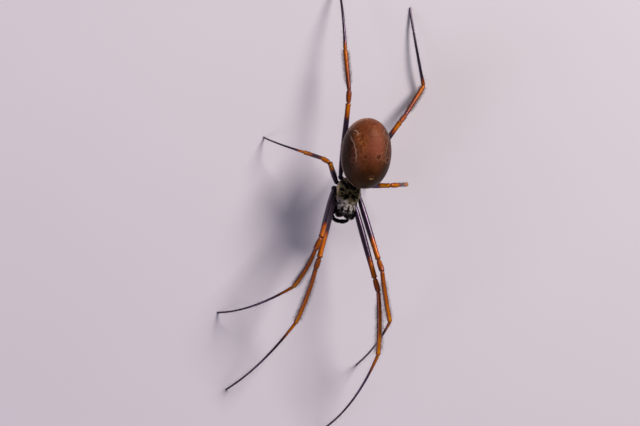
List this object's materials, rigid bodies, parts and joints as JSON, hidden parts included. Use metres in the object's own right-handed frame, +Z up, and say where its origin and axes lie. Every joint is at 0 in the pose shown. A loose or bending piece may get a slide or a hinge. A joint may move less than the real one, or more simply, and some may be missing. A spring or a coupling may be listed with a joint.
{
  "type": "golden silk orb weaver spider",
  "caption": "Life-size still model of a large female orb-web spider standing on its feet, with a smooth egg-shaped abdomen, a small silver-grey hairy head end and very long slim brushed legs.",
  "frame": {"origin": "on the floor that the feet stand on, below the middle of the box around the whole spider", "axes": "+Z up from the floor; -Y the way the head points; +X the spider's left, which is the right of the picture"},
  "size_m": [0.0532, 0.1138, 0.0251],
  "materials": {
    "carapace": "dull, with short silver hair",
    "abdomen_skin": "smooth leathery sheen",
    "dark_cuticle": "satin",
    "amber_cuticle": "satin",
    "eye": "polished"
  },
  "bodies": {
    "root": {"abdomen": "abdomen_skin", "cephalothorax": "carapace", "chelicera_left": "dark_cuticle", "chelicera_right": "dark_cuticle", "eye_anterior_lateral_left": "eye", "eye_anterior_lateral_right": "eye", "eye_anterior_median_left": "eye", "eye_anterior_median_right": "eye", "eye_posterior_lateral_left": "eye", "eye_posterior_lateral_right": "eye", "eye_posterior_median_left": "eye", "eye_posterior_median_right": "eye", "fang_left": "dark_cuticle", "fang_right": "dark_cuticle", "leg_1_left_coxa": "dark_cuticle", "leg_1_left_femur": "dark_cuticle", "leg_1_left_foot": "dark_cuticle", "leg_1_left_tibia": "amber_cuticle", "leg_1_right_coxa": "dark_cuticle", "leg_1_right_femur": "dark_cuticle", "leg_1_right_foot": "dark_cuticle", "leg_1_right_tibia": "amber_cuticle", "leg_2_left_coxa": "dark_cuticle", "leg_2_left_femur": "dark_cuticle", "leg_2_left_foot": "dark_cuticle", "leg_2_left_tibia": "amber_cuticle", "leg_2_right_coxa": "dark_cuticle", "leg_2_right_femur": "dark_cuticle", "leg_2_right_foot": "dark_cuticle", "leg_2_right_tibia": "amber_cuticle", "leg_3_left_coxa": "dark_cuticle", "leg_3_left_femur": "dark_cuticle", "leg_3_left_foot": "dark_cuticle", "leg_3_left_tibia": "amber_cuticle", "leg_3_right_coxa": "dark_cuticle", "leg_3_right_femur": "dark_cuticle", "leg_3_right_foot": "dark_cuticle", "leg_3_right_tibia": "amber_cuticle", "leg_4_left_coxa": "dark_cuticle", "leg_4_left_femur": "dark_cuticle", "leg_4_left_foot": "dark_cuticle", "leg_4_left_tibia": "amber_cuticle", "leg_4_right_coxa": "dark_cuticle", "leg_4_right_femur": "dark_cuticle", "leg_4_right_foot": "dark_cuticle", "leg_4_right_tibia": "amber_cuticle", "palp_left_femur": "dark_cuticle", "palp_left_tip": "dark_cuticle", "palp_right_femur": "dark_cuticle", "palp_right_tip": "dark_cuticle", "pedicel": "dark_cuticle", "spinnerets": "dark_cuticle", "sternum": "dark_cuticle"}
  },
  "joints": []
}
